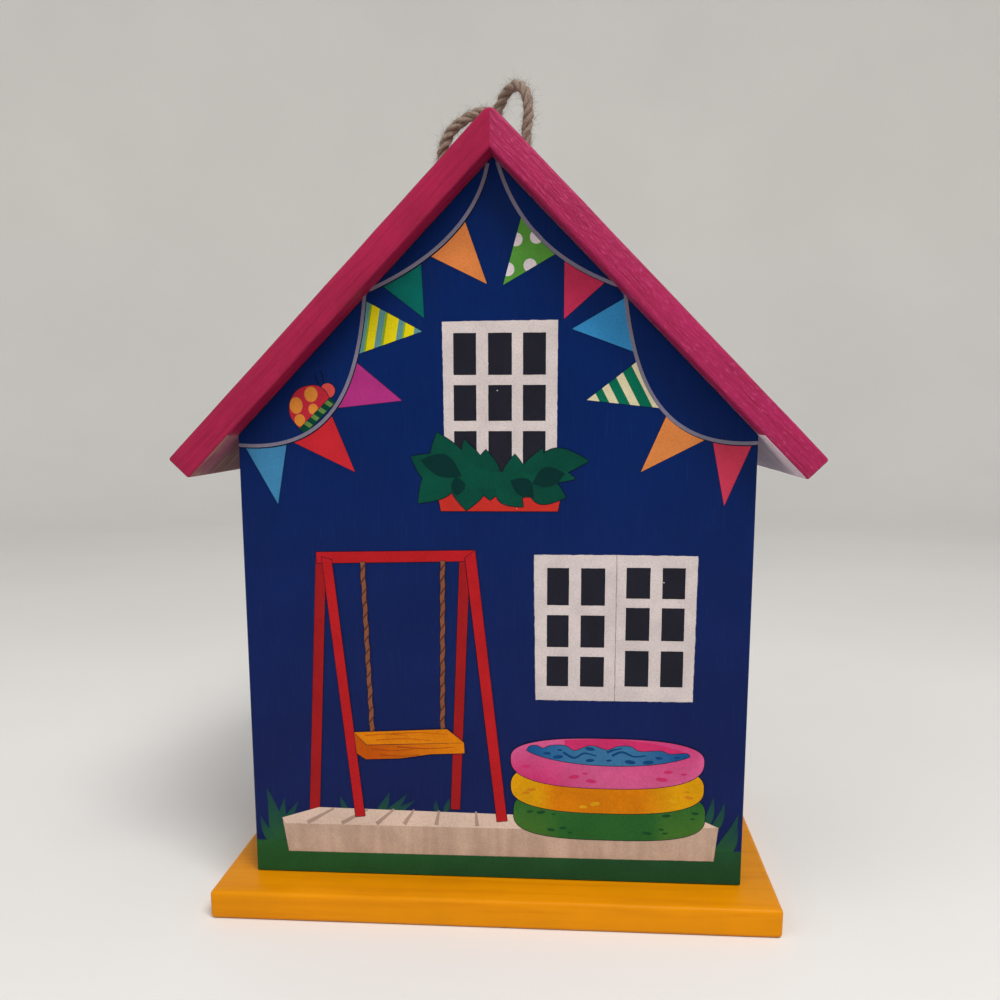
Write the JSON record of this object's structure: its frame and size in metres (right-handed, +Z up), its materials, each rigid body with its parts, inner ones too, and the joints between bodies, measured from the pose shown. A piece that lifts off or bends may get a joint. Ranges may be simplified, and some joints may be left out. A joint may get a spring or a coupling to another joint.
{
  "type": "birdhouse",
  "caption": "Painted wooden birdhouse: gabled box on a base board, two-board roof, entrance hole with a perch, swing cover over a clean-out hole, and a jute hanging cord.",
  "frame": {"origin": "centre of the base board's underside, on the surface that the birdhouse stands on", "axes": "+Z up; the picture wall faces -Y, the entrance wall faces +Y and the clean-out cover faces +X"},
  "size_m": [0.2106, 0.171, 0.2922],
  "materials": {
    "roof_paint": "semi-gloss crimson paint over grain",
    "wall_print": "satin blue print over grain",
    "base_paint": "semi-gloss yellow paint over grain",
    "cover_paint": "satin blue paint over grain",
    "dowel": "semi-gloss yellow paint",
    "jute": "hairy twisted jute",
    "steel": "zinc plated"
  },
  "bodies": {
    "house": {"base_board": "base_paint", "picture_wall": "wall_print", "entrance_wall": "wall_print", "left_wall": "wall_print", "right_wall": "wall_print", "roof_left": "roof_paint", "roof_right": "roof_paint", "perch": "dowel", "pivot_washer": "steel", "pivot_screw": "steel", "hanging_cord": "jute", "cord_knot_left": "jute", "cord_knot_right": "jute", "base_screw_front_left": "steel", "base_screw_front_right": "steel", "base_screw_back_left": "steel", "base_screw_back_right": "steel", "corner_brad_front_left_1": "steel", "corner_brad_front_left_2": "steel", "corner_brad_front_left_3": "steel", "corner_brad_front_right_1": "steel", "corner_brad_front_right_2": "steel", "corner_brad_front_right_3": "steel", "corner_brad_back_left_1": "steel", "corner_brad_back_left_2": "steel", "corner_brad_back_left_3": "steel", "corner_brad_back_right_1": "steel", "corner_brad_back_right_2": "steel", "corner_brad_back_right_3": "steel", "roof_brad_left_front_1": "steel", "roof_brad_left_front_2": "steel", "roof_brad_left_front_3": "steel", "roof_brad_left_back_1": "steel", "roof_brad_left_back_2": "steel", "roof_brad_left_back_3": "steel", "roof_brad_right_front_1": "steel", "roof_brad_right_front_2": "steel", "roof_brad_right_front_3": "steel", "roof_brad_right_back_1": "steel", "roof_brad_right_back_2": "steel", "roof_brad_right_back_3": "steel"},
    "cover": {"cleanout_cover": "cover_paint"}
  },
  "joints": [
    {"name": "cover_swing", "type": "hinge", "parent": "house", "child": "cover", "pos_m": [0.0855, 0, 0.088], "axis": [1, 0, 0], "range_deg": [-120, 120]}
  ]
}
